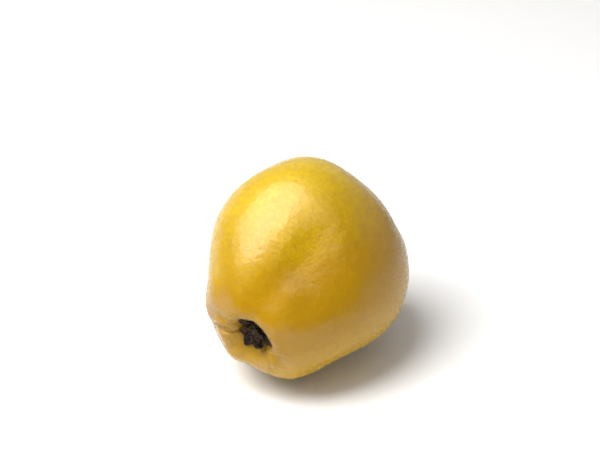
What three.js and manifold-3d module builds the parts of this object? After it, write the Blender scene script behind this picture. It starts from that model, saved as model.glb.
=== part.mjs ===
// A ripe quince, lying on its side on a small flat spot.
//
// Millimetres, +Z up. The origin is the middle of the flat spot that the fruit
// rests on. The dried calyx faces -Y and hangs a little, the stem end faces +Y.
//
// The fruit is one solid. What is left of the flower sits in the hollow at one
// end as two pieces, the withered sepals and the tuft of dry stamens, and a
// short woody stub sits in the hollow at the other end.

import * as THREE from 'three';
import { mergeVertices } from 'three/addons/utils/BufferGeometryUtils.js';
import Module from 'manifold-3d';

const wasm = await Module();
wasm.setup();

// ---------------------------------------------------------------------------
// Driving dimensions. A place on the skin is given in degrees: `polar` counts
// from the calyx (0) to the stem (180), and `turn` goes round the core from the
// top (0) by the -X side (90) to the underside (180).
// ---------------------------------------------------------------------------

const FRUIT = {
  bellyRadius: 40.4,   // mean radius where the fruit is widest
  halfLength: 46.8,    // from the middle to either end, hollows not counted
  taper: 0.166,        // share by which the calyx half is slimmer
  fullness: 0.867,     // below 1 gives fuller shoulders than an ellipse has
  noseDrop: 7.7,       // degrees by which the calyx end hangs
  centre: [0.6, -2.8, 36.75],  // the fruit's middle, seen from the flat spot
};

// Unevenness all round, as shares of the radius: the flesh stands higher above the
// core than below it, the section is a leaning oval, and it has three blunt corners.
const OUT_OF_ROUND = [
  { waves: 1, height: 0.06, at: 10 },
  { waves: 2, height: 0.05, at: 35 },
  { waves: 3, height: 0.05, at: 10 },
];

// Blunt lobes that stand round each end, as shares of the radius.
const END_LOBES = [
  { waves: 5, height: 0.035, at: -13, polar: 43, spread: 31.5 },
  { waves: 6, height: 0.042, at: 22, polar: 150, spread: 17 },
];

// The hollows at the two ends. Each lies `offCore` degrees off the core towards
// `offTo`. Its wall is steep on the side of `steepAt` and gentle on the other.
const CALYX_HOLLOW = {
  depth: 9.3, offCore: 3.2, offTo: 352,
  steepAt: 330, steepReach: 11.2, gentleReach: 13.5, steepPower: 5, gentlePower: 2.2,
};
const STEM_HOLLOW = {
  depth: 7.5, offCore: 0, offTo: 0,
  steepAt: 0, steepReach: 14, gentleReach: 14, steepPower: 2, gentlePower: 2,
};

// Soft swellings (and, where the height is negative, flats) in the flesh.
const SWELLINGS = [
  { polar: 140, turn: 326, height: -1.1, spread: 13 },  // the flats and blunt corners of the belly
  { polar: 132, turn: 5, height: 0.6, spread: 12 },
  { polar: 114, turn: 32, height: -1.2, spread: 12 },
  { polar: 87, turn: 53, height: 0.9, spread: 12 },
  { polar: 58, turn: 68, height: -1.3, spread: 12 },
  { polar: 42, turn: 82, height: 1.4, spread: 10 },
  { polar: 31, turn: 112, height: -0.9, spread: 9 },
  { polar: 24, turn: 142, height: 0.7, spread: 9 },
  { polar: 42, turn: 209, height: 1.4, spread: 11 },
  { polar: 72, turn: 228, height: -2.1, spread: 17 },
  { polar: 130, turn: 267, height: -0.5, spread: 12 },
  { polar: 48, turn: 14, height: 1.0, spread: 16 },     // the ridge over the calyx
  { polar: 62, turn: 330, height: -2.0, spread: 15 },   // the hollow beside it
  { polar: 84, turn: 300, height: 1.2, spread: 18 },    // the swell on the far side of that
  { polar: 108, turn: 318, height: -0.7, spread: 14 },
  { polar: 50, turn: 270, height: -1.0, spread: 14 },   // the flat under the calyx
  { polar: 20, turn: 335, height: 1.0, spread: 12 },    // blunt shoulders over the calyx
  { polar: 44, turn: 328, height: 1.0, spread: 9 },
  { polar: 33, turn: 20, height: 0.8, spread: 10 },
  { polar: 40, turn: 300, height: 0.8, spread: 13 },
  { polar: 36, turn: 52, height: 1.4, spread: 9 },
  { polar: 26, turn: 20, height: 1.2, spread: 8 },
  { polar: 27, turn: 350, height: 0.8, spread: 8 },
  { polar: 28, turn: 325, height: 1.6, spread: 8 },
  { polar: 32, turn: 305, height: 1.0, spread: 8 },
  { polar: 84, turn: 168, height: 1.6, spread: 22 },    // brings the flat spot under the weight
  { polar: 128, turn: 130, height: 0.9, spread: 16 },   // the hidden side
  { polar: 118, turn: 80, height: -0.7, spread: 13 },
];

// Furrows that run from a hollow out over the flesh, in mm deep and wide.
const FURROWS = [
  { from: [12, 346], to: [80, 336], depth: 2.0, width: 7.0, fade: 14 },
  { from: [6, 60], to: [36, 98], depth: 2.2, width: 1.9, fade: 6 },
  { from: [9, 36], to: [36, 80], depth: 1.2, width: 1.8, fade: 7 },
  { from: [12, 262], to: [32, 222], depth: 1.4, width: 2.2, fade: 7 },
  { from: [10, 165], to: [40, 168], depth: 0.8, width: 4.0, fade: 9 },
  { from: [172, 100], to: [132, 84], depth: 1.7, width: 3.2, fade: 9 },
  { from: [171, 205], to: [138, 214], depth: 1.3, width: 2.8, fade: 8 },
  { from: [172, 300], to: [142, 292], depth: 1.6, width: 3.6, fade: 8 },
];

// Fine puckers drawn in round the mouth of the calyx hollow.
const PUCKERS = { waves: 11, height: 0.7, at: 6, polar: 16, spread: 7 };

const REST_BLOCK = 60;             // side of the block that planes the rest spot flat
const CLEARANCE = 0.45;            // gap left between the fruit and what sits in its hollows
const BEND_STEPS = 48;             // stations along a bent sepal or thread
const FRUIT_RINGS = 50;
const FRUIT_SEGMENTS = 76;
const RING_CROWDING = 0.55;        // how much closer the rings stand at both ends

// The dried cup of the flower. Heights are along the core from the fruit's middle.
const CUP = { offCore: 2.7, foot: 35.4, dish: 38.5, rim: 39.3, radius: 4.7, dishRadius: 3.8, segments: 20 };

// Sepals in the order they stand round the cup. `lift` is the slope of the root
// above level and `curl` is what the slope gains by the tip, both in degrees;
// `late` puts the curl nearer the tip, and `twist` swings the tip sideways.
const SEPALS = [
  { turn: 38, length: 10.0, width: 3.8, lift: 52, curl: -44, late: 1, twist: 0.8, point: 1.0 },
  { turn: 100, length: 5.4, width: 3.6, lift: 60, curl: -90, late: 1, twist: 0, point: 0.35 },
  { turn: 148, length: 5.6, width: 6.2, lift: 46, curl: -24, late: 1, twist: 0, point: 0.9 },
  { turn: 204, length: 9.4, width: 3.6, lift: 36, curl: 270, late: 2, twist: -0.8, point: 0.5 },
  { turn: 262, length: 8.0, width: 4.0, lift: 58, curl: -30, late: 1, twist: 0.8, point: 0.9 },
  { turn: 322, length: 7.0, width: 4.6, lift: 74, curl: -20, late: 1, twist: -1.0, point: 0.9 },
];
const SEPAL = { thickness: 0.8, rootRadius: 3.7, rootHeight: 38.7, cupping: 0.5, across: 4, along: 8 };

// The tuft of dried stamens and styles: rings of threads on a low boss.
const BOSS = { radius: 3.4, foot: 38.85, height: 1.0, segments: 16 };
const THREAD_RINGS = [
  { count: 5, radius: 0.9, lift: 82, curl: 20, length: 3.0 },
  { count: 11, radius: 2.5, lift: 78, curl: -34, length: 3.9 },
];
const THREAD = { thickness: 0.8, tipThickness: 0.66, rootSunk: 0.25, sides: 5, along: 3 };
const THREAD_UNEVENNESS = 0.22;    // share by which length, lean and bend wander
const THREAD_SEED = 7;

// The woody stub of the stalk, broken off short.
const STUB = { foot: -38.4, end: -45.6, footRadius: 3.1, endRadius: 2.4, lean: 7, sides: 14, along: 5 };

// ---------------------------------------------------------------------------
// Small helpers.
// ---------------------------------------------------------------------------

const radians = THREE.MathUtils.degToRad;
const hump = (distance, spread) => Math.exp(-((distance / spread) ** 2));
const step = (distance, softness) => 1 / (1 + Math.exp(-distance / softness));
const shortWay = (degrees) => THREE.MathUtils.euclideanModulo(degrees + 180, 360) - 180;

// A closed geometry as a manifold-3d solid: shared vertices are welded, and the
// triangles that shrink to a line at a pole are dropped.
function solidFrom(geometry) {
  const bare = geometry.clone();
  bare.deleteAttribute('normal');
  bare.deleteAttribute('uv');
  const welded = mergeVertices(bare, 1e-4);
  const corners = welded.index.array;
  const kept = [];
  for (let i = 0; i < corners.length; i += 3) {
    const [a, b, c] = [corners[i], corners[i + 1], corners[i + 2]];
    if (a !== b && b !== c && c !== a) kept.push(a, b, c);
  }
  return new wasm.Manifold(new wasm.Mesh({
    numProp: 3,
    vertProperties: new Float32Array(welded.attributes.position.array),
    triVerts: new Uint32Array(kept),
  }));
}

function geometryFrom(solid) {
  const mesh = solid.getMesh();
  const geometry = new THREE.BufferGeometry();
  geometry.setAttribute('position', new THREE.BufferAttribute(mesh.vertProperties, 3));
  geometry.setIndex(new THREE.BufferAttribute(mesh.triVerts, 1));
  geometry.computeVertexNormals();
  return geometry;
}

function fuse(solids) {
  return solids.reduce((whole, solid) => whole.add(solid));
}

// Moves every vertex of a geometry by a function of its place.
function reshape(geometry, move) {
  const position = geometry.attributes.position;
  const point = new THREE.Vector3();
  for (let i = 0; i < position.count; i += 1) {
    point.fromBufferAttribute(position, i);
    move(point, i);
    position.setXYZ(i, point.x, point.y, point.z);
  }
  return geometry;
}

// The core runs along the lathe's Y axis, with +Y at the calyx, +Z on top and
// +X towards the part's -X side. This lays it down in the part's own frame.
const drop = radians(FRUIT.noseDrop);
const coreAxis = new THREE.Vector3(0, -Math.cos(drop), -Math.sin(drop));
const topAxis = new THREE.Vector3(0, -Math.sin(drop), Math.cos(drop));
const sideAxis = new THREE.Vector3(-1, 0, 0);
const layDown = new THREE.Matrix4()
  .makeBasis(sideAxis, coreAxis, topAxis)
  .setPosition(...FRUIT.centre);

// ---------------------------------------------------------------------------
// The fruit.
// ---------------------------------------------------------------------------

// How far the skin stands in or out at one place, in mm.
function relief(polar, turn) {
  let height = 0;
  const sinPolar = Math.sin(radians(polar));
  for (const swelling of SWELLINGS) {
    const cosine = Math.cos(radians(polar)) * Math.cos(radians(swelling.polar))
      + sinPolar * Math.sin(radians(swelling.polar)) * Math.cos(radians(turn - swelling.turn));
    const away = THREE.MathUtils.radToDeg(Math.acos(THREE.MathUtils.clamp(cosine, -1, 1)));
    height += swelling.height * hump(away, swelling.spread);
  }
  for (const furrow of FURROWS) {
    const [start, startTurn] = furrow.from;
    const [end, endTurn] = furrow.to;
    const along = THREE.MathUtils.clamp((polar - start) / (end - start), -0.25, 1.25);
    const middle = startTurn + shortWay(endTurn - startTurn) * along;
    const across = radians(shortWay(turn - middle)) * sinPolar * FRUIT.bellyRadius;
    const outward = Math.sign(end - start);
    const opens = step(outward * (polar - start), furrow.fade * 0.25);
    const closes = step(outward * (end - polar), furrow.fade * 0.35);
    height -= furrow.depth * hump(across, furrow.width) * opens * closes;
  }
  const puckering = sinPolar * hump(polar - PUCKERS.polar, PUCKERS.spread);
  height += PUCKERS.height * puckering * Math.cos(radians(PUCKERS.waves * (turn - PUCKERS.at)));
  return height;
}

// The radius of the smooth body and the dip of a hollow, as the skin turns.
function roundness(polar, turn) {
  const sinPolar = Math.sin(radians(polar));
  let share = 1;
  for (const wave of OUT_OF_ROUND) {
    share += sinPolar * wave.height * Math.cos(radians(wave.waves * (turn - wave.at)));
  }
  for (const lobe of END_LOBES) {
    const near = sinPolar * hump(polar - lobe.polar, lobe.spread);
    share += near * lobe.height * Math.cos(radians(lobe.waves * (turn - lobe.at)));
  }
  return share;
}

function dip(hollow, fromPole, turn) {
  const aside = fromPole * Math.sin(radians(turn)) - hollow.offCore * Math.sin(radians(hollow.offTo));
  const above = fromPole * Math.cos(radians(turn)) - hollow.offCore * Math.cos(radians(hollow.offTo));
  const away = Math.hypot(aside, above);
  const steep = 0.5 + 0.5 * Math.cos(Math.atan2(aside, above) - radians(hollow.steepAt));
  const reach = THREE.MathUtils.lerp(hollow.gentleReach, hollow.steepReach, steep);
  const power = THREE.MathUtils.lerp(hollow.gentlePower, hollow.steepPower, steep);
  return hollow.depth * Math.exp(-((away / reach) ** power));
}

// The whole skin, with `swell` mm added all over.
function fruitSolid(swell) {
  const polars = [];
  for (let ring = 0; ring <= FRUIT_RINGS; ring += 1) {
    const share = ring / FRUIT_RINGS;
    const crowd = RING_CROWDING * Math.sin(2 * Math.PI * share) / (2 * Math.PI);
    polars.push(180 * (share - crowd));
  }
  const profile = polars.map((polar) => {
    const sine = Math.max(Math.sin(radians(polar)), 0);
    const cosine = Math.cos(radians(polar));
    const radius = FRUIT.bellyRadius * sine ** FRUIT.fullness * (1 - FRUIT.taper * cosine);
    return new THREE.Vector2(polar === 0 || polar === 180 ? 0 : radius, FRUIT.halfLength * cosine);
  });
  const skin = new THREE.LatheGeometry(profile.reverse(), FRUIT_SEGMENTS);
  polars.reverse();
  reshape(skin, (point, i) => {
    const polar = polars[i % polars.length];
    const turn = 360 * Math.floor(i / polars.length) / FRUIT_SEGMENTS;
    const sine = Math.sin(radians(polar));
    const cosine = Math.cos(radians(polar));
    const radius = Math.hypot(point.x, point.z);
    const out = relief(polar, turn) + swell;
    const round = roundness(polar, turn);
    point.y += out * cosine - dip(CALYX_HOLLOW, polar, turn) + dip(STEM_HOLLOW, 180 - polar, turn);
    const grown = radius * round + out * sine;
    point.x = grown * Math.sin(radians(turn));
    point.z = grown * Math.cos(radians(turn));
  });
  skin.applyMatrix4(layDown);
  return solidFrom(skin);
}

function buildFruit() {
  const under = new THREE.BoxGeometry(REST_BLOCK, REST_BLOCK, REST_BLOCK);
  under.translate(0, 0, -REST_BLOCK / 2);
  return fruitSolid(0).subtract(solidFrom(under));
}

// ---------------------------------------------------------------------------
// The calyx: the withered cup and its sepals.
// ---------------------------------------------------------------------------

// The middle of the cup, set off the core as the hollow is.
const cupPlace = new THREE.Vector3()
  .setFromCylindricalCoords(CUP.offCore, radians(CALYX_HOLLOW.offTo), 0)
  .toArray();

// Lays a straight strip, drawn along +Z from the origin, onto a curve that
// starts on a ring round the core, leans out and bends on its way. `turn` says
// where on the ring it stands.
function bendOutwards(geometry, { turn, ringRadius, height, length, lift, curl, late, twist }) {
  const steps = BEND_STEPS;
  const outs = [0];
  const ups = [0];
  for (let i = 0; i < steps; i += 1) {
    const slope = radians(lift + curl * ((i + 0.5) / steps) ** late);
    outs.push(outs[i] + Math.cos(slope) * length / steps);
    ups.push(ups[i] + Math.sin(slope) * length / steps);
  }
  const outward = new THREE.Vector3(Math.sin(radians(turn)), 0, Math.cos(radians(turn)));
  const sideways = new THREE.Vector3(outward.z, 0, -outward.x);
  return reshape(geometry, (point) => {
    const share = THREE.MathUtils.clamp(point.z / length, 0, 1);
    const at = Math.round(share * steps);
    const slope = radians(lift + curl * share ** late);
    const out = ringRadius + outs[at] - point.y * Math.sin(slope);
    const up = height + ups[at] + point.y * Math.cos(slope);
    const aside = point.x + twist * share ** 2;
    point.copy(outward).multiplyScalar(out).addScaledVector(sideways, aside);
    point.y = up;
  });
}

function sepal({ turn, length, width, lift, curl, late, twist, point: pointed }) {
  const blade = new THREE.BoxGeometry(1, SEPAL.thickness, length, SEPAL.across, 1, SEPAL.along);
  blade.translate(0, 0, length / 2);
  reshape(blade, (point) => {
    const share = THREE.MathUtils.clamp(point.z / length, 0, 1);
    const swellingOut = 0.8 + 0.35 * Math.sin(Math.PI * Math.min(share * 1.3, 1));
    const drawnIn = 1 - 0.82 * pointed * share ** 2.4;
    point.y += SEPAL.cupping * (2 * point.x) ** 2 * Math.sin(Math.PI * share);
    point.x *= width * swellingOut * drawnIn;
  });
  const { rootRadius: ringRadius, rootHeight: height } = SEPAL;
  return solidFrom(bendOutwards(blade, { turn, ringRadius, height, length, lift, curl, late, twist }));
}

function buildSepals() {
  const profile = [
    new THREE.Vector2(0, CUP.foot),
    new THREE.Vector2(CUP.radius * 0.8, CUP.foot),
    new THREE.Vector2(CUP.radius, CUP.dish),
    new THREE.Vector2(CUP.radius * 0.96, CUP.rim),
    new THREE.Vector2(CUP.dishRadius, CUP.rim),
    new THREE.Vector2(CUP.dishRadius, CUP.dish),
    new THREE.Vector2(0, CUP.dish),
  ];
  const cup = solidFrom(new THREE.LatheGeometry(profile, CUP.segments));
  return fuse([cup, ...SEPALS.map(sepal)]).translate(cupPlace);
}

// ---------------------------------------------------------------------------
// The tuft of dried stamens.
// ---------------------------------------------------------------------------

// A small seeded generator, so that every run draws the same numbers.
function seededRandom(seed) {
  let state = seed;
  return () => {
    state = (state * 16807) % 2147483647;
    return state / 2147483647;
  };
}

function thread(settings) {
  const { sides, along, thickness, tipThickness } = THREAD;
  const straight = new THREE.CylinderGeometry(
    tipThickness / 2, thickness / 2, settings.length, sides, along,
  );
  straight.translate(0, settings.length / 2, 0).rotateX(Math.PI / 2);
  return solidFrom(bendOutwards(straight, { late: 1, twist: 0, ...settings }));
}

function buildStamens() {
  const random = seededRandom(THREAD_SEED);
  const wander = () => 1 + THREAD_UNEVENNESS * (2 * random() - 1);
  const profile = [
    new THREE.Vector2(0, BOSS.foot),
    new THREE.Vector2(BOSS.radius, BOSS.foot),
    new THREE.Vector2(BOSS.radius, BOSS.foot + BOSS.height * 0.4),
    new THREE.Vector2(BOSS.radius * 0.6, BOSS.foot + BOSS.height * 0.85),
    new THREE.Vector2(0, BOSS.foot + BOSS.height),
  ];
  const pieces = [solidFrom(new THREE.LatheGeometry(profile, BOSS.segments))];
  for (const ring of THREAD_RINGS) {
    for (let i = 0; i < ring.count; i += 1) {
      pieces.push(thread({
        turn: 360 * (i + 0.35 * random()) / ring.count,
        ringRadius: ring.radius,
        height: BOSS.foot + THREAD.rootSunk,
        length: ring.length * wander(),
        lift: ring.lift * wander(),
        curl: ring.curl * wander(),
      }));
    }
  }
  return fuse(pieces).translate(cupPlace);
}

// ---------------------------------------------------------------------------
// The stub of the stalk.
// ---------------------------------------------------------------------------

function buildStub() {
  const length = STUB.foot - STUB.end;
  const stub = new THREE.CylinderGeometry(
    STUB.footRadius, STUB.endRadius, length, STUB.sides, STUB.along,
  );
  reshape(stub, (point) => {
    const turn = Math.atan2(point.x, point.z);
    const ridges = 1 + 0.09 * Math.cos(3 * turn + 0.6) + 0.06 * Math.cos(5 * turn);
    const share = 0.5 - point.y / length;
    point.x *= ridges * (1 - 0.18 * Math.sin(Math.PI * share));
    point.z *= ridges * (1 - 0.18 * Math.sin(Math.PI * share));
    if (share > 0.99) point.y += 0.5 * Math.cos(turn - 0.8) * Math.hypot(point.x, point.z) / STUB.endRadius;
  });
  stub.rotateX(radians(STUB.lean)).translate(0, STUB.foot - length / 2, 0);
  return solidFrom(stub);
}

// ---------------------------------------------------------------------------
// The part.
// ---------------------------------------------------------------------------

const skin = new THREE.MeshStandardMaterial({ color: 0xd9a911, roughness: 0.45, metalness: 0 });
const witheredLeaf = new THREE.MeshStandardMaterial({ color: 0x2a2018, roughness: 0.8, metalness: 0 });
const dryThread = new THREE.MeshStandardMaterial({ color: 0x5a4632, roughness: 0.85, metalness: 0 });
const stalkWood = new THREE.MeshStandardMaterial({ color: 0x5d4426, roughness: 0.85, metalness: 0 });

const keepClear = fruitSolid(CLEARANCE);
const laid = (solid) => solidFrom(geometryFrom(solid).applyMatrix4(layDown));

const quince = new THREE.Group();
const addNode = (name, solid, material) => {
  const mesh = new THREE.Mesh(geometryFrom(solid), material);
  mesh.name = name;
  quince.add(mesh);
};
addNode('fruit', buildFruit(), skin);
addNode('calyx_sepals', laid(buildSepals()).subtract(keepClear), witheredLeaf);
addNode('calyx_stamens', laid(buildStamens()), dryThread);
addNode('stem_stub', laid(buildStub()).subtract(keepClear), stalkWood);

export default quince;
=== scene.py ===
import math

import bmesh
import bpy
import numpy as np
from mathutils import Matrix, Vector, noise


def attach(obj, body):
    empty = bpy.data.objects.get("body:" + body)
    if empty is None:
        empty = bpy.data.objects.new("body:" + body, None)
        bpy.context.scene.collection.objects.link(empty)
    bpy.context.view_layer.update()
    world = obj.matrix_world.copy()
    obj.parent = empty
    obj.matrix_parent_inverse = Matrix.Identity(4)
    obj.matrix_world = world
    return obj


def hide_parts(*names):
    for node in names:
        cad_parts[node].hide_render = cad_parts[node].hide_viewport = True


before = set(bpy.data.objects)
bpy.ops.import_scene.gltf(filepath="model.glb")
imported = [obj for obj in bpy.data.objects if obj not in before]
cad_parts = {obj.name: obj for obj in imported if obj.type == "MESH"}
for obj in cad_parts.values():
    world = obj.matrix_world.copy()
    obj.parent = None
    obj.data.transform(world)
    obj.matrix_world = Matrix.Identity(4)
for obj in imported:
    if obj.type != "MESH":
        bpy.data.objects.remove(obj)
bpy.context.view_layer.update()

MM = 0.001


# ---------------------------------------------------------------------------
# The camera: a long lens that looks down on the fruit at 33 degrees, a little
# to the right of the calyx. It stands still, with no shift and no blur.
# ---------------------------------------------------------------------------

FRUIT_CENTRE = Vector((0.6, -2.8, 36.75)) * MM     # where the core's middle is
CAMERA_HEADING = math.radians(27.5)
CAMERA_HEIGHT = math.radians(33)
CAMERA_DISTANCE = 0.85
CAMERA_RAISE = Vector((-0.21, 21.4)) * MM          # right and up from the line to the fruit
SENSOR_WIDTH = 36.0
LENS = 122.7

right = Vector((math.cos(CAMERA_HEADING), math.sin(CAMERA_HEADING), 0))
away = Vector((-math.sin(CAMERA_HEADING), math.cos(CAMERA_HEADING), 0))
above = Vector((0, 0, 1))
backward = -away * math.cos(CAMERA_HEIGHT) + above * math.sin(CAMERA_HEIGHT)
upward = backward.cross(right)


def facing(x_axis, z_axis, place):
    """A matrix that stands at a place with these local X and Z directions."""
    z_axis = z_axis.normalized()
    x_axis = (x_axis - z_axis * x_axis.dot(z_axis)).normalized()
    y_axis = z_axis.cross(x_axis)
    return Matrix.Translation(place) @ Matrix((x_axis, y_axis, z_axis)).transposed().to_4x4()


camera = bpy.data.objects.new("camera", bpy.data.cameras.new("camera"))
camera.data.sensor_width = SENSOR_WIDTH
camera.data.lens = LENS
camera.data.clip_end = 20
eye = FRUIT_CENTRE + backward * CAMERA_DISTANCE + right * CAMERA_RAISE.x + upward * CAMERA_RAISE.y
camera.matrix_world = facing(right, backward, eye)
bpy.context.scene.collection.objects.link(camera)
bpy.context.scene.camera = camera


# ---------------------------------------------------------------------------
# The studio: a white paper floor that ends 20 cm in front, a large soft box high
# on the left with a dimmer one beside it for the shine, a smaller key lamp for
# the shadow, a fill lamp and a low card in front for the shaded side, and a dim
# room with a pale wall on the right and behind and a pale ceiling.
# ---------------------------------------------------------------------------

FLOOR_SIZE = 8.0
FLOOR_FRONT = 0.20                                 # the paper ends this far in front
FLOOR_COLOUR = "D8D7D6"

# Each lamp: its size in metres, its power in watts, then its place from the fruit,
# where its back is turned to and its long side, all as (right, away, above), and the
# rays that miss it. The soft boxes only shine on the wax; the others only light.
SOFTBOX_BACK = (-0.43, 0.25, 0.865)
SOFTBOX_LONG = (0.95, -0.10, 0.30)
ACROSS = (1, 0, 0)
LAMPS = [
    ("softbox", (1.75, 1.05), 28.0, (-0.43, 0.20, 0.90), SOFTBOX_BACK, SOFTBOX_LONG, "diffuse"),
    ("spill", (1.1, 1.0), 4.6, (0.30, -0.20, 0.93), (0.30, -0.20, 0.93), ACROSS, "diffuse"),
    ("key", (1.1, 0.7), 25.0, (-0.52, -0.20, 0.91), SOFTBOX_BACK, SOFTBOX_LONG, "glossy"),
    ("fill", (0.6, 0.6), 2.0, (-0.58, -0.45, 0.68), (-0.58, -0.45, 0.68), ACROSS, "glossy"),
    ("card", (0.6, 0.6), 7.5, (0.25, -1.0, 0.08), (0.25, -1.0, 0.08), ACROSS, "glossy"),
]

WALL_LIGHT = 0.8
WALL_TOWARDS = (0.40, 0.92, 0)                     # the way to its brightest part
WALL_LEAST = 0.05                                  # share of its light on the other side
WALL_TOP = (0.28, 0.06)                            # heights where it starts and is full
WALL_RISE = 0.36                                   # how much higher its brightest part goes
CEILING_LIGHT = 0.8
CEILING_EDGE = (0.58, 0.90)                        # heights where it starts and is full
ROOM_TINT = (1.0, 0.99, 0.97, 1.0)


def in_view(offset):
    """A vector given as (right, away, above), as the camera stands."""
    return right * offset[0] + away * offset[1] + above * offset[2]


def linear(hex_colour):
    """An sRGB hex colour as the linear RGBA that a shader socket takes."""
    shares = [int(hex_colour[i:i + 2], 16) / 255 for i in (0, 2, 4)]
    light = [c / 12.92 if c <= 0.04045 else ((c + 0.055) / 1.055) ** 2.4 for c in shares]
    return (*light, 1.0)


def add(tree, kind, inputs=None, **settings):
    """Adds a node with its settings; an input takes a value or another node's output."""
    made = tree.nodes.new(kind)
    for name, value in settings.items():
        setattr(made, name, value)
    for socket, value in (inputs or {}).items():
        if isinstance(value, bpy.types.NodeSocket):
            tree.links.new(value, made.inputs[socket])
        else:
            made.inputs[socket].default_value = value
    return made


def new_material(name):
    """An empty node material and its tree."""
    material = bpy.data.materials.new(name)
    material.use_nodes = True
    material.node_tree.nodes.clear()
    return material, material.node_tree


def mesh_object(name, bm, material):
    """A finished bmesh as an object at the origin, smooth, with one material."""
    mesh = bpy.data.meshes.new(name)
    bm.to_mesh(mesh)
    bm.free()
    mesh.materials.append(material)
    mesh.shade_smooth()
    made = bpy.data.objects.new(name, mesh)
    bpy.context.scene.collection.objects.link(made)
    return made


# Matt white paper.
paper, tree = new_material("white_paper_sweep")
shader = add(tree, "ShaderNodeBsdfDiffuse", {"Color": linear(FLOOR_COLOUR)})
add(tree, "ShaderNodeOutputMaterial", {"Surface": shader.outputs[0]})
bm = bmesh.new()
bmesh.ops.create_grid(
    bm, x_segments=1, y_segments=1, size=FLOOR_SIZE / 2,
    matrix=facing(right, above, away * (FLOOR_SIZE / 2 - FLOOR_FRONT)),
)
floor = mesh_object("floor", bm, paper)

for name, size, power, place, back, long_side, missed_by in LAMPS:
    lamp = bpy.data.objects.new(name, bpy.data.lights.new(name, "AREA"))
    lamp.data.shape = "ELLIPSE"
    lamp.data.size, lamp.data.size_y = size
    lamp.data.energy = power
    lamp.matrix_world = facing(in_view(long_side), in_view(back), FRUIT_CENTRE + in_view(place))
    setattr(lamp, "visible_" + missed_by, False)
    bpy.context.scene.collection.objects.link(lamp)

world = bpy.data.worlds.new("room")
world.use_nodes = True
bpy.context.scene.world = world
tree = world.node_tree
tree.nodes.clear()
direction = add(tree, "ShaderNodeTexCoord").outputs["Generated"]
height = add(tree, "ShaderNodeSeparateXYZ", {0: direction}).outputs["Z"]
behind = add(tree, "ShaderNodeVectorMath", {
    0: direction, 1: in_view(WALL_TOWARDS),
}, operation="DOT_PRODUCT")
raised = add(tree, "ShaderNodeMath", {0: behind.outputs["Value"], 1: 0.0}, operation="MAXIMUM")
lowered = add(tree, "ShaderNodeMath", {
    0: raised.outputs[0], 1: -WALL_RISE, 2: height,
}, operation="MULTIPLY_ADD")
wall = add(tree, "ShaderNodeMapRange", {
    "Value": lowered.outputs[0], "From Min": WALL_TOP[0], "From Max": WALL_TOP[1],
    "To Min": 0.0, "To Max": WALL_LIGHT,
})
over = add(tree, "ShaderNodeMapRange", {
    "Value": height, "From Min": CEILING_EDGE[0], "From Max": CEILING_EDGE[1],
    "To Min": 0.0, "To Max": CEILING_LIGHT,
})
share = add(tree, "ShaderNodeMath", {
    0: raised.outputs[0], 1: 1 - WALL_LEAST, 2: WALL_LEAST,
}, operation="MULTIPLY_ADD")
light = add(tree, "ShaderNodeMath", {
    0: wall.outputs[0], 1: share.outputs[0], 2: over.outputs[0],
}, operation="MULTIPLY_ADD")
glow = add(tree, "ShaderNodeBackground", {"Color": ROOM_TINT, "Strength": light.outputs[0]})
add(tree, "ShaderNodeOutputWorld", {"Surface": glow.outputs[0]})

bpy.context.scene.view_settings.view_transform = "Standard"
bpy.context.scene.view_settings.look = "None"


# ---------------------------------------------------------------------------
# The fruit: one piece of hard yellow flesh under a thin waxy skin, grown with
# blunt lobes, folds round the calyx and a lobed hollow round the stalk. It is
# the solid fruit made fine, with small creases and dents moved into it.
# ---------------------------------------------------------------------------

NOSE_DROP = math.radians(7.7)                      # how far the calyx end hangs
HALF_LENGTH = 46.8
BELLY_RADIUS = 40.4
TAPER = 0.166
FULLNESS = 0.867
SKIN_LEVELS = 2
REST_HEIGHT = 0.15                                 # mm of the rest spot that stay flat
REST_BLEND = 2.0                                   # mm above it where the relief comes in

# Fine creases at the bottom of the folds, and the crests between them with a depth
# below zero, as (polar, turn) ends in degrees, with their depth and width in mm.
FINE_CREASES = [
    ((7, 82), (31, 91), 0.65, 0.60),
    ((12, 57), (32, 66), 0.30, 0.60),
    ((12, 68), (30, 79), -0.40, 1.00),
    ((6, 58), (17, 71), -1.20, 1.50),
    ((12, 262), (34, 218), 0.12, 1.20),
    ((14, 292), (31, 252), 0.12, 0.60),
    ((13, 280), (29, 244), 0.08, 0.60),
    ((11, 244), (30, 208), -0.35, 1.00),
    ((11, 232), (26, 209), 0.35, 0.60),
    ((12, 120), (24, 126), 0.22, 0.60),
    ((10, 200), (26, 192), 0.25, 0.60),
    ((172, 100), (140, 88), 0.45, 0.70),
    ((171, 205), (146, 211), 0.35, 0.70),
    ((172, 300), (148, 294), 0.40, 0.80),
]
LIP_HEIGHT = 0.3                                   # a crease's lips, in depths of it
LIP_OFFSET = 2.1                                   # how far off they are, in widths of it
FULL_SHADE_DEPTH = 0.5                                # from this depth in mm a crease is fully darkened with painted shade

# Dents and undulation in the flesh: wavelength and height in mm.
UNDULATIONS = [(13.0, 0.20), (6.0, 0.10), (3.0, 0.035)]

# Fine radial wrinkles, stronger at both ends: polar and spread in degrees, and how
# many times the wrinkle height.
WRINKLE_HEIGHT = 0.08
WRINKLE_TURNS = 8.0
WRINKLED_ENDS = [(14, 7, 3.2), (166, 6, 2.4)]

# Small rubbed russet marks: polar and turn in degrees, radius in mm and strength.
RUSSET_MARKS = [
    (51, 335, 2.2, 0.25), (57, 338, 1.2, 0.20), (44, 339, 1.4, 0.20), (96, 118, 1.6, 0.5),
    (128, 252, 2.4, 0.5), (74, 196, 1.5, 0.4), (141, 22, 1.3, 0.4), (109, 305, 0.9, 0.45),
]
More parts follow.
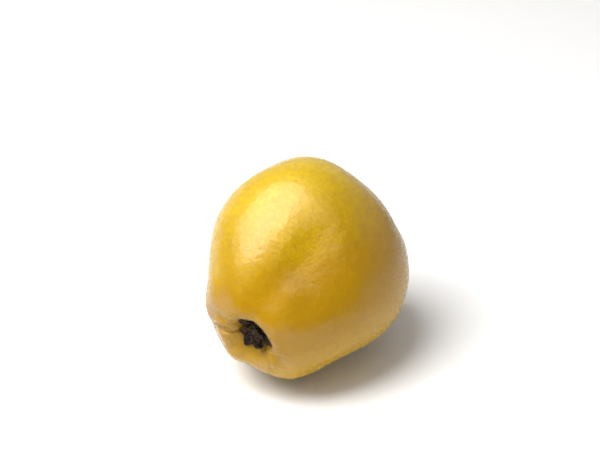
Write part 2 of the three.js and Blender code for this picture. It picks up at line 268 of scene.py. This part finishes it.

# Russet stains: where each hollow opens and how far its stain runs out, in degrees
# of polar, and how strong the stains are. The crease share is painted shade in the creases.
CALYX_MOUTH = 7
STEM_MOUTH = 172
STAIN_REACH = 6.0
CALYX_STAIN = 0.6
STEM_STAIN = 0.9
CREASE_SHADE = 0.35

core = Vector((0, -math.cos(NOSE_DROP), -math.sin(NOSE_DROP)))
top = Vector((0, -math.sin(NOSE_DROP), math.cos(NOSE_DROP)))
side = Vector((-1, 0, 0))
core_frame = np.array([side, core, top])           # rows: side, along the core, top


def merged_copy(node):
    """A bmesh of a CAD node with its loose triangles welded and paired into quads."""
    bm = bmesh.new()
    bm.from_mesh(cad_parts[node].data)
    bmesh.ops.remove_doubles(bm, verts=bm.verts, dist=0.002 * MM)
    bmesh.ops.join_triangles(
        bm, faces=bm.faces, angle_face_threshold=math.radians(60),
        angle_shape_threshold=math.radians(60),
    )
    return bm


def subdivided(bm, levels):
    """The same bmesh after Catmull-Clark subdivision."""
    rough = bpy.data.meshes.new("rough")
    bm.to_mesh(rough)
    bm.free()
    holder = bpy.data.objects.new("rough", rough)
    bpy.context.scene.collection.objects.link(holder)
    modifier = holder.modifiers.new("subdivide", "SUBSURF")
    modifier.levels = modifier.render_levels = levels
    depsgraph = bpy.context.evaluated_depsgraph_get()
    fine = bpy.data.meshes.new_from_object(holder.evaluated_get(depsgraph))
    bpy.data.objects.remove(holder)
    made = bmesh.new()
    made.from_mesh(fine)
    return made


def skin_place(points):
    """Polar and turn in degrees of points in metres: polar counts from the calyx to
    the stalk, turn goes round the core from the top by the -X side."""
    across, along, high = ((points - np.array(FRUIT_CENTRE)) / MM @ core_frame.T).T
    angle = np.linspace(0, math.pi, 721)           # every quarter of a degree
    radius = BELLY_RADIUS * np.sin(angle) ** FULLNESS * (1 - TAPER * np.cos(angle))
    seen = np.arctan2(radius, HALF_LENGTH * np.cos(angle))
    polar = np.interp(np.arctan2(np.hypot(across, high), along), seen, np.degrees(angle))
    return polar, np.degrees(np.arctan2(across, high)) % 360


def from_mark(polar, turn, mark_polar, mark_turn):
    """Distance in mm, over a round belly, between skin places and a mark."""
    p, q, mark = np.radians(polar), np.radians(turn - mark_turn), math.radians(mark_polar)
    cosine = np.cos(p) * math.cos(mark) + np.sin(p) * math.sin(mark) * np.cos(q)
    return np.arccos(np.clip(cosine, -1, 1)) * BELLY_RADIUS


def from_crease(polar, turn, start, end):
    """Distance in mm of skin places from a line, and how open the line is there."""
    share = np.clip((polar - start[0]) / (end[0] - start[0]), -0.25, 1.25)
    middle = start[1] + ((end[1] - start[1] + 180) % 360 - 180) * share
    swing = np.radians((turn - middle + 180) % 360 - 180)
    across = swing * np.sin(np.radians(polar)) * BELLY_RADIUS
    opened = 1 / (1 + np.exp(-(share - 0.05) / 0.05))
    return across, opened / (1 + np.exp(-(0.9 - share) / 0.09))


def noise_at(points, size):
    """Smooth noise at each point, with features of about the given size in mm."""
    return np.array([noise.noise(Vector(p) / (size * MM)) for p in points])


bm = subdivided(merged_copy("fruit"), SKIN_LEVELS)
bm.normal_update()
points = np.array([v.co for v in bm.verts])
normals = np.array([v.normal for v in bm.verts])
polar, turn = skin_place(points)

relief = np.zeros(len(points))
crease_shade = np.zeros(len(points))
for start, end, depth, width in FINE_CREASES:
    across, opened = from_crease(polar, turn, start, end)
    groove = np.exp(-(across / width) ** 2) * opened
    lips = np.exp(-((np.abs(across) - LIP_OFFSET * width) / width) ** 2) * opened
    relief += depth * (LIP_HEIGHT * lips * (depth > 0) - groove)
    # Painted shade: each groove is also darkened, more where it is deeper.
    crease_shade = np.maximum(crease_shade, groove * min(1.0, max(0.0, depth / FULL_SHADE_DEPTH)))
for size, height in UNDULATIONS:
    relief += height * noise_at(points, size)
turning = np.radians(turn)
round_core = np.column_stack([np.sin(turning), np.cos(turning), polar / 60]) * WRINKLE_TURNS
wrinkle = noise_at(round_core * MM, 1.0) * np.sin(np.radians(polar))
ends = sum(times * np.exp(-((polar - end) / spread) ** 2) for end, spread, times in WRINKLED_ENDS)
relief += WRINKLE_HEIGHT * wrinkle * ends

rests = np.clip((points[:, 2] / MM - REST_HEIGHT) / REST_BLEND, 0, 1)
points += normals * (relief * rests * MM)[:, None]
points[:, 2] = np.maximum(points[:, 2], 0.0)
for vert, place in zip(bm.verts, points):
    vert.co = place

stains_and_crease_shade = CALYX_STAIN * np.exp(-(np.maximum(polar - CALYX_MOUTH, 0) / STAIN_REACH) ** 1.5)
stains_and_crease_shade += STEM_STAIN * np.exp(-(np.maximum(STEM_MOUTH - polar, 0) / STAIN_REACH) ** 1.5)
# The crease share is painted shade that darkens the creases, not a stain.
stains_and_crease_shade += CREASE_SHADE * crease_shade
marks = np.zeros(len(points))
for mark_polar, mark_turn, radius, strength in RUSSET_MARKS:
    apart = from_mark(polar, turn, mark_polar, mark_turn)
    marks = np.maximum(marks, strength * np.exp(-(apart / radius) ** 2))
stains_and_crease_shade = np.clip(stains_and_crease_shade + marks, 0, 1)

# Yellow quince skin, grown, in patches of lemon and ochre, with painted light: lemon
# and lighter on the side towards the lamps, ochre on the other, and a painted floor
# bounce of pale gold underneath; with fine pebbling that breaks the waxy shine, russet
# stains that run out of both hollows and painted shade in the creases.
skin, tree = new_material("ripe_quince_skin")
place = add(tree, "ShaderNodeTexCoord").outputs["Object"]
stain_and_shade = add(tree, "ShaderNodeAttribute", attribute_name="stain_and_shade").outputs["Fac"]
grain = add(tree, "ShaderNodeAttribute", attribute_name="grain").outputs["Vector"]

# Painted light: lemon and lighter on the side towards the lamps, ochre on the side
# away from them, mixed with the skin's own patches of 20 mm.
lamp_side = (upward * 0.92 + right * -0.38) / (40 * MM)
patches = add(tree, "ShaderNodeTexNoise", {
    "Vector": place, "Scale": 50, "Detail": 3, "Roughness": 0.5,
})
facing_lamp_side = add(tree, "ShaderNodeVectorMath", {0: place, 1: lamp_side}, operation="DOT_PRODUCT")
lamp_side_and_patches = add(tree, "ShaderNodeMath", {
    0: patches.outputs["Fac"], 1: 0.9, 2: facing_lamp_side.outputs["Value"],
}, operation="MULTIPLY_ADD")
lemon_share = add(tree, "ShaderNodeMapRange", {
    "Value": lamp_side_and_patches.outputs[0], "From Min": 0.45 + FRUIT_CENTRE.dot(lamp_side),
    "From Max": 1.40 + FRUIT_CENTRE.dot(lamp_side), "To Min": 0.0, "To Max": 1.0,
})
ground = add(tree, "ShaderNodeMix", {
    "Factor": lemon_share.outputs[0], "A": linear("916C05"), "B": linear("B59708"),
}, data_type="RGBA")

# Painted floor bounce: paler gold on the underside, where the floor lights it, less
# so near the calyx.
level = add(tree, "ShaderNodeVectorMath", {
    0: place, 1: above + core * 0.3,
}, operation="DOT_PRODUCT")
under = add(tree, "ShaderNodeMapRange", {
    "Value": level.outputs["Value"], "From Min": 0.043, "From Max": 0.015,
    "To Min": 0.0, "To Max": 0.85,
})
ground = add(tree, "ShaderNodeMix", {
    "Factor": under.outputs[0], "A": ground.outputs["Result"], "B": linear("BA9610"),
}, data_type="RGBA")

# Mottling of 1 to 2 mm.
mottle = add(tree, "ShaderNodeTexNoise", {
    "Vector": place, "Scale": 800, "Detail": 3, "Roughness": 0.6,
})
mottle_share = add(tree, "ShaderNodeMapRange", {
    "Value": mottle.outputs["Fac"], "From Min": 0.40, "From Max": 0.66,
    "To Min": 0.0, "To Max": 0.50,
})
mottled = add(tree, "ShaderNodeMix", {
    "Factor": mottle_share.outputs[0], "A": ground.outputs["Result"], "B": linear("85600A"),
}, data_type="RGBA")

# Russet, broken into streaks that run away from the core, with painted shade
# in the creases.
streaks = add(tree, "ShaderNodeTexNoise", {
    "Vector": grain, "Scale": 9, "Detail": 4, "Roughness": 0.65,
})
russet_and_crease_shade = add(tree, "ShaderNodeMath", {
    0: streaks.outputs["Fac"], 1: 1.6, 2: -0.15,
}, operation="MULTIPLY_ADD")
russet_and_crease_shade = add(tree, "ShaderNodeMath", {
    0: russet_and_crease_shade.outputs[0], 1: stain_and_shade,
}, operation="MULTIPLY", use_clamp=True)
coloured = add(tree, "ShaderNodeMix", {
    "Factor": russet_and_crease_shade.outputs[0], "A": mottled.outputs["Result"], "B": linear("5A3512"),
}, data_type="RGBA")

# The waxy shine, uneven with the mottling and duller on russet, over pebbles of
# 1 mm and swells of 3 mm.
gloss = add(tree, "ShaderNodeMapRange", {
    "Value": mottle.outputs["Fac"], "From Min": 0.3, "From Max": 0.7,
    "To Min": 0.23, "To Max": 0.31,
})
dull = add(tree, "ShaderNodeMath", {
    0: russet_and_crease_shade.outputs[0], 1: 0.3, 2: gloss.outputs[0],
}, operation="MULTIPLY_ADD")
pebbles = add(tree, "ShaderNodeTexNoise", {
    "Vector": place, "Scale": 1000, "Detail": 2, "Roughness": 0.55,
})
swells = add(tree, "ShaderNodeTexNoise", {"Vector": place, "Scale": 330, "Detail": 1})
bump = add(tree, "ShaderNodeBump", {
    "Strength": 1.0, "Distance": 0.00010, "Height": pebbles.outputs["Fac"],
})
bump = add(tree, "ShaderNodeBump", {
    "Strength": 1.0, "Distance": 0.00022, "Height": swells.outputs["Fac"],
    "Normal": bump.outputs[0],
})
shader = add(tree, "ShaderNodeBsdfPrincipled", {
    "Base Color": coloured.outputs["Result"], "Roughness": dull.outputs[0], "IOR": 1.43,
    "Normal": bump.outputs[0],
})
add(tree, "ShaderNodeOutputMaterial", {"Surface": shader.outputs[0]})

fruit = mesh_object("quince_fruit", bm, skin)
attributes = fruit.data.attributes
attributes.new("stain_and_shade", "FLOAT", "POINT").data.foreach_set("value", stains_and_crease_shade)
attributes.new("grain", "FLOAT_VECTOR", "POINT").data.foreach_set("vector", round_core.ravel())
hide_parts("fruit")
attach(fruit, "root")


# ---------------------------------------------------------------------------
# The withered sepals: the leathery leaves of the old flower, dried nearly black,
# crumpled and curled, that stand on a shrunken cup in the hollow. Each is a thin
# blade bent on its own curve, with a midrib and a torn edge.
# ---------------------------------------------------------------------------

CUP_TURN = math.radians(352)
CUP_OFFSET = 2.7                                   # mm from the core to the middle of the cup
CUP_OFF_CORE = Vector((CUP_OFFSET * math.sin(CUP_TURN), 0, CUP_OFFSET * math.cos(CUP_TURN)))
CUP_CRUMPLE = 0.35
CUP_CRUMPLE_SIZE = 1.1
SEPAL_ROOT_RADIUS = 3.7
SEPAL_ROOT_HEIGHT = 38.7
SEPAL_THICKNESS = 0.35
SEPAL_CUPPING = 0.5
SEPAL_CRUMPLE = 0.42
SEPAL_PUCKER = 0.16                                # smaller than the crumples, and on them
SEPAL_TEAR = 0.20                                  # how far its edges are torn, of its width
MIDRIB_HEIGHT = 0.22
MIDRIB_WIDTH = 0.07                                # of the blade's width
CURVE_STEPS = 96

# The cup's outline, in mm from its middle and along the core.
CUP_PROFILE = [
    (3.0, 35.6), (4.2, 36.6), (4.7, 38.2), (4.5, 39.2), (3.9, 39.0), (3.6, 38.3), (0.0, 38.2),
]

# Each sepal: its turn round the cup in degrees, length and width in mm, slope of
# the root and slope gained by the tip in degrees, how late it curls, sideways swing
# of the tip in mm, and how pointed it is.
SEPALS = [
    (32, 8.6, 3.8, 52, -44, 1, 0.8, 1.0),
    (100, 4.0, 3.2, 68, -80, 1, 0.0, 0.35),
    (148, 5.6, 5.2, 46, -24, 1, 0.0, 0.9),
    (210, 9.6, 3.6, 34, 270, 2, -0.8, 0.5),
    (262, 8.0, 4.0, 58, -30, 1, 0.8, 0.9),
    (322, 7.0, 4.6, 74, -20, 1, -1.0, 0.9),
]


def from_core(across, along, high):
    """A place given along the core's own directions, in mm, as a point in metres."""
    return FRUIT_CENTRE + (side * across + core * along + top * high) * MM


def turned(profile, steps):
    """A bmesh of an outline spun round the middle of the cup."""
    bm = bmesh.new()
    rim = [
        bm.verts.new(from_core(radius + CUP_OFF_CORE.x, along, CUP_OFF_CORE.z))
        for radius, along in profile
    ]
    edges = [bm.edges.new(pair) for pair in zip(rim, rim[1:])]
    bmesh.ops.spin(
        bm, geom=rim + edges, cent=from_core(CUP_OFF_CORE.x, 0, CUP_OFF_CORE.z), axis=core,
        angle=math.tau, steps=steps, use_merge=True,
    )
    bmesh.ops.remove_doubles(bm, verts=bm.verts, dist=0.01 * MM)
    return bm


def bent(turn, ring_radius, height, length, lift, curl, late, twist):
    """A function that lays a straight strip on a curve that leans out of the cup:
    share along it, offset above it and aside, all to a point in metres."""
    slopes = np.radians(lift + curl * ((np.arange(CURVE_STEPS) + 0.5) / CURVE_STEPS) ** late)
    outs = np.concatenate([[0], np.cumsum(np.cos(slopes))]) * length / CURVE_STEPS
    ups = np.concatenate([[0], np.cumsum(np.sin(slopes))]) * length / CURVE_STEPS
    outward = Vector((math.sin(math.radians(turn)), 0, math.cos(math.radians(turn))))
    sideways = Vector((outward.z, 0, -outward.x))

    def lay(share, above_it, aside):
        slope = math.radians(lift + curl * share ** late)
        step = share * CURVE_STEPS
        out = ring_radius + np.interp(step, range(len(outs)), outs) - above_it * math.sin(slope)
        up = height + np.interp(step, range(len(ups)), ups) + above_it * math.cos(slope)
        flat = outward * out + sideways * (aside + twist * share ** 2) + CUP_OFF_CORE
        return from_core(flat.x, up, flat.z)
    return lay


bm = turned(CUP_PROFILE, 40)
cup_middle = from_core(CUP_OFF_CORE.x, 36, CUP_OFF_CORE.z)
for vert in bm.verts:
    away_from = (vert.co - cup_middle).normalized()
    vert.co += away_from * CUP_CRUMPLE * MM * noise.noise(vert.co / (CUP_CRUMPLE_SIZE * MM))
bmesh.ops.recalc_face_normals(bm, faces=bm.faces)

for number, (turn_at, length, width, lift, curl, late, twist, pointed) in enumerate(SEPALS):
    lay = bent(turn_at, SEPAL_ROOT_RADIUS, SEPAL_ROOT_HEIGHT, length, lift, curl, late, twist)
    blade = bmesh.ops.create_grid(bm, x_segments=10, y_segments=22, size=0.5)["verts"]
    for vert in blade:
        across, share = vert.co.x, vert.co.y + 0.5
        seed = Vector((across * 3, share * length / 2.2, number * 7.3))
        edge_seed = Vector((share * length * 1.6, number, across))
        swelling = 0.8 + 0.35 * math.sin(math.pi * min(share * 1.3, 1))
        drawn_in = 1 - 0.82 * pointed * share ** 2.4
        torn = 1 + SEPAL_TEAR * abs(2 * across) ** 3 * noise.noise(edge_seed)
        lifted = SEPAL_CUPPING * (2 * across) ** 2 * math.sin(math.pi * share)
        lifted += SEPAL_CRUMPLE * noise.noise(seed) * min(1, share * 3)
        lifted += SEPAL_PUCKER * noise.noise(seed * 3.1) * min(1, share * 3)
        lifted += MIDRIB_HEIGHT * math.exp(-(across / MIDRIB_WIDTH) ** 2) * (1 - share)
        vert.co = lay(share, lifted, across * width * swelling * drawn_in * torn)

# Dead calyx leaf: leathery, black-brown with browner blotches where the down has
# worn off, and fine grey-brown fibres that stand up a little.
leaf, tree = new_material("withered_quince_sepal")
place = add(tree, "ShaderNodeTexCoord").outputs["Object"]
blotch = add(tree, "ShaderNodeTexNoise", {
    "Vector": place, "Scale": 420, "Detail": 4, "Roughness": 0.6,
})
worn = add(tree, "ShaderNodeMapRange", {
    "Value": blotch.outputs["Fac"], "From Min": 0.46, "From Max": 0.66,
    "To Min": 0.0, "To Max": 1.0,
})
base = add(tree, "ShaderNodeMix", {
    "Factor": worn.outputs[0], "A": linear("0F0B08"), "B": linear("2B201A"),
}, data_type="RGBA")
fibres = add(tree, "ShaderNodeTexNoise", {
    "Vector": place, "Scale": 1900, "Detail": 3, "Roughness": 0.7,
})
fibred = add(tree, "ShaderNodeMapRange", {
    "Value": fibres.outputs["Fac"], "From Min": 0.54, "From Max": 0.72,
    "To Min": 0.0, "To Max": 0.45,
})
base = add(tree, "ShaderNodeMix", {
    "Factor": fibred.outputs[0], "A": base.outputs["Result"], "B": linear("57463A"),
}, data_type="RGBA")
bump = add(tree, "ShaderNodeBump", {
    "Strength": 1.0, "Distance": 0.0002, "Height": fibres.outputs["Fac"],
})
shader = add(tree, "ShaderNodeBsdfPrincipled", {
    "Base Color": base.outputs["Result"], "Roughness": 0.62, "IOR": 1.28,
    "Normal": bump.outputs[0],
})
add(tree, "ShaderNodeOutputMaterial", {"Surface": shader.outputs[0]})

sepals = mesh_object("withered_sepals", bm, leaf)
thicken = sepals.modifiers.new("thickness", "SOLIDIFY")
thicken.thickness = SEPAL_THICKNESS * MM
thicken.offset = 0
soften = sepals.modifiers.new("soften", "SUBSURF")
soften.levels = soften.render_levels = 1
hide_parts("calyx_sepals")
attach(sepals, "root")


# ---------------------------------------------------------------------------
# The dry stamens and styles: a tangled tuft of stiff brown threads on a low
# boss in the cup, some still with the husk of an anther. Each is a thin tube.
# ---------------------------------------------------------------------------

# Threads in each ring: how many, ring radius in mm, lean and bend in degrees, and
# length and thickness in mm.
STAMEN_RINGS = [
    (5, 0.8, 80, 36, 3.4, 0.34), (9, 1.7, 82, -39, 3.9, 0.28),
    (13, 2.5, 76, -60, 4.1, 0.26), (12, 3.2, 68, 21, 3.3, 0.24),
]
STAMEN_SEED = 11
STAMEN_ROOT_HEIGHT = 39.2
STAMEN_VARIETY = 0.28                              # how much length, lean and bend wander
STAMEN_KINK = 0.4
STAMEN_POINTS = 9
STAMEN_SIDES = 6
HUSK_CHANCE = 0.55

# The boss's outline, in mm from the middle of the cup and along the core.
BOSS_PROFILE = [(0.0, 38.9), (3.4, 38.9), (3.3, 39.4), (2.6, 39.8), (1.4, 40.0), (0.0, 39.9)]


def grow_tube(bm, route, radii, sides):
    """A closed tube along a route: a ring at each point, bridged ring to ring."""
    rings = []
    for i, point in enumerate(route):
        ahead = route[min(i + 1, len(route) - 1)] - route[max(i - 1, 0)]
        matrix = facing(core.cross(ahead) + side * 0.01, ahead, point)
        ring = bmesh.ops.create_circle(bm, segments=sides, radius=radii[i] * MM, matrix=matrix)
        rings.append(ring["verts"])
    loops = []
    for ring in rings:
        here = set(ring)
        loops.append([e for e in {e for v in ring for e in v.link_edges} if set(e.verts) <= here])
    for near, far in zip(loops, loops[1:]):
        bmesh.ops.bridge_loops(bm, edges=near + far)
    for ring in (rings[0], rings[-1]):
        bmesh.ops.contextual_create(bm, geom=ring)


def two_tone(tree, value, low, dark, high, pale):
    """A colour that goes from a dark hex colour at a low value to a pale one at a high."""
    ramp = add(tree, "ShaderNodeValToRGB", {0: value})
    for stop, at, colour in zip(ramp.color_ramp.elements, (low, high), (dark, pale)):
        stop.position = at
        stop.color = linear(colour)
    return ramp.outputs[0]


bm = turned(BOSS_PROFILE, 28)
draw = np.random.default_rng(STAMEN_SEED)
for count, ring_radius, lean, bend, length, thick in STAMEN_RINGS:
    for i in range(count):
        longer, leaned, bowed, _ = 1 + STAMEN_VARIETY * (2 * draw.random(4) - 1)
        lay = bent(
            360 * (i + 0.7 * draw.random()) / count, ring_radius, STAMEN_ROOT_HEIGHT,
            length * longer, lean * leaned, bend * bowed, 1, 1.4 * (draw.random() - 0.5),
        )
        kink = draw.random(2) * STAMEN_KINK
        shares = np.linspace(0, 1, STAMEN_POINTS)
        rises = kink[0] * np.sin(5 * shares)
        strays = kink[1] * (np.sin(4 * shares + 1) - 0.8)
        route = [lay(*spot) for spot in zip(shares, rises, strays)]
        radii = thick / 2 * (1.25 - 0.4 * shares)
        if draw.random() < HUSK_CHANCE:
            radii[-3:] = [thick * 0.5, thick * 1.1, thick * 0.75]
        radii[-1] *= 0.6
        grow_tube(bm, route, radii, STAMEN_SIDES)
bmesh.ops.recalc_face_normals(bm, faces=bm.faces)

# Dead stamen: dry straw-like fibre, brown to grey-beige, matt.
straw, tree = new_material("dry_stamen_fibre")
place = add(tree, "ShaderNodeTexCoord").outputs["Object"]
patch = add(tree, "ShaderNodeTexNoise", {
    "Vector": place, "Scale": 900, "Detail": 2, "Roughness": 0.6,
})
base = two_tone(tree, patch.outputs["Fac"], 0.36, "160F0A", 0.68, "5E4A3A")
fine = add(tree, "ShaderNodeTexNoise", {"Vector": place, "Scale": 4000, "Detail": 2})
bump = add(tree, "ShaderNodeBump", {
    "Strength": 0.8, "Distance": 0.00008, "Height": fine.outputs["Fac"],
})
shader = add(tree, "ShaderNodeBsdfPrincipled", {
    "Base Color": base, "Roughness": 0.7, "IOR": 1.35, "Normal": bump.outputs[0],
})
add(tree, "ShaderNodeOutputMaterial", {"Surface": shader.outputs[0]})
stamens = mesh_object("dry_stamens", bm, straw)
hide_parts("calyx_stamens")
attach(stamens, "root")


# ---------------------------------------------------------------------------
# The stub of the stalk: a short woody end broken off in its hollow, ridged
# along the grain and corky. It is the solid stub made fine and roughened.
# ---------------------------------------------------------------------------

RIDGE_HEIGHT = 0.16
RIDGE_WIDTH = 0.7
RIDGE_LENGTH = 4
KNOT_HEIGHT = 0.18
KNOT_SIZE = 1.6

bm = subdivided(merged_copy("stem_stub"), 2)
bm.normal_update()
for vert in bm.verts:
    along = (vert.co - FRUIT_CENTRE).dot(core)
    level = (vert.co - FRUIT_CENTRE) - core * along
    ridges = noise.noise(level / (RIDGE_WIDTH * MM) + core * along / (RIDGE_LENGTH * MM))
    knots = noise.noise(vert.co / (KNOT_SIZE * MM))
    vert.co += vert.normal * MM * (RIDGE_HEIGHT * ridges + KNOT_HEIGHT * knots)

# Dry quince stalk: brown woody bark with paler worn crests along the grain.
bark, tree = new_material("dry_quince_stalk")
place = add(tree, "ShaderNodeTexCoord").outputs["Object"]
fibre = add(tree, "ShaderNodeMapping", {"Vector": place, "Scale": (1800, 350, 1800)})
grained = add(tree, "ShaderNodeTexNoise", {
    "Vector": fibre.outputs[0], "Scale": 1, "Detail": 4, "Roughness": 0.6,
})
base = two_tone(tree, grained.outputs["Fac"], 0.34, "2E1E12", 0.68, "8A6C4C")
bump = add(tree, "ShaderNodeBump", {
    "Strength": 1.0, "Distance": 0.0002, "Height": grained.outputs["Fac"],
})
shader = add(tree, "ShaderNodeBsdfPrincipled", {
    "Base Color": base, "Roughness": 0.75, "IOR": 1.45, "Normal": bump.outputs[0],
})
add(tree, "ShaderNodeOutputMaterial", {"Surface": shader.outputs[0]})
stub = mesh_object("stalk_stub", bm, bark)
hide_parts("stem_stub")
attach(stub, "root")


# ---------------------------------------------------------------------------
# Down: what is left of the grey-white felt that covers a young quince. It
# clings round the mouth of the calyx and in the hollow of the stalk. Each hair
# is a thin three-sided spike, drawn a little coarser than real so that it shows.
# ---------------------------------------------------------------------------

DOWN_SEED = 5
DOWNY_ENDS = [(13, 6.5, 2600), (170, 9, 2600)]     # polar and spread in degrees, and hairs
HAIR_LENGTH = 0.75
HAIR_RADIUS = 0.028
HAIR_MIDDLE = 0.42                                 # its height over the skin, in lengths
HAIR_LEAN = 0.55
HAIR_STRAY = 0.22

hair = bmesh.new()
bmesh.ops.create_cone(
    hair, cap_ends=True, segments=3, radius1=HAIR_RADIUS * MM, radius2=0.0,
    depth=HAIR_LENGTH * MM, matrix=Matrix.Translation((0, 0, HAIR_LENGTH * MM * HAIR_MIDDLE)),
)
bmesh.ops.remove_doubles(hair, verts=hair.verts, dist=0.0001 * MM)
spike = bpy.data.meshes.new("hair")
hair.to_mesh(spike)
hair.free()

draw = np.random.default_rng(DOWN_SEED)
spots = np.array([v.co for v in fruit.data.vertices])
facings = np.array([v.normal for v in fruit.data.vertices])
polar, turn = skin_place(spots)
bm = bmesh.new()
for end, spread, count in DOWNY_ENDS:
    chance = np.exp(-((polar - end) / spread) ** 2) * np.sin(np.radians(polar))
    for vertex in draw.choice(len(spots), size=count, p=chance / chance.sum()):
        outward = Vector(facings[vertex])
        tilt = outward + Vector(draw.normal(0, HAIR_LEAN, 3))
        jitter = Vector(draw.normal(0, HAIR_STRAY, 3)) * MM
        jitter -= outward * jitter.dot(outward)
        scale = Matrix.Scale(0.5 + 0.8 * draw.random(), 4)
        matrix = facing(tilt.orthogonal(), tilt, Vector(spots[vertex]) + jitter) @ scale
        spike.transform(matrix)
        bm.from_mesh(spike)
        spike.transform(matrix.inverted())

# Old quince felt: matt straw-grey fibre.
wool, tree = new_material("quince_down")
shader = add(tree, "ShaderNodeBsdfPrincipled", {
    "Base Color": linear("C9B88E"), "Roughness": 0.8, "IOR": 1.45,
})
add(tree, "ShaderNodeOutputMaterial", {"Surface": shader.outputs[0]})
down = mesh_object("quince_down", bm, wool)
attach(down, "root")
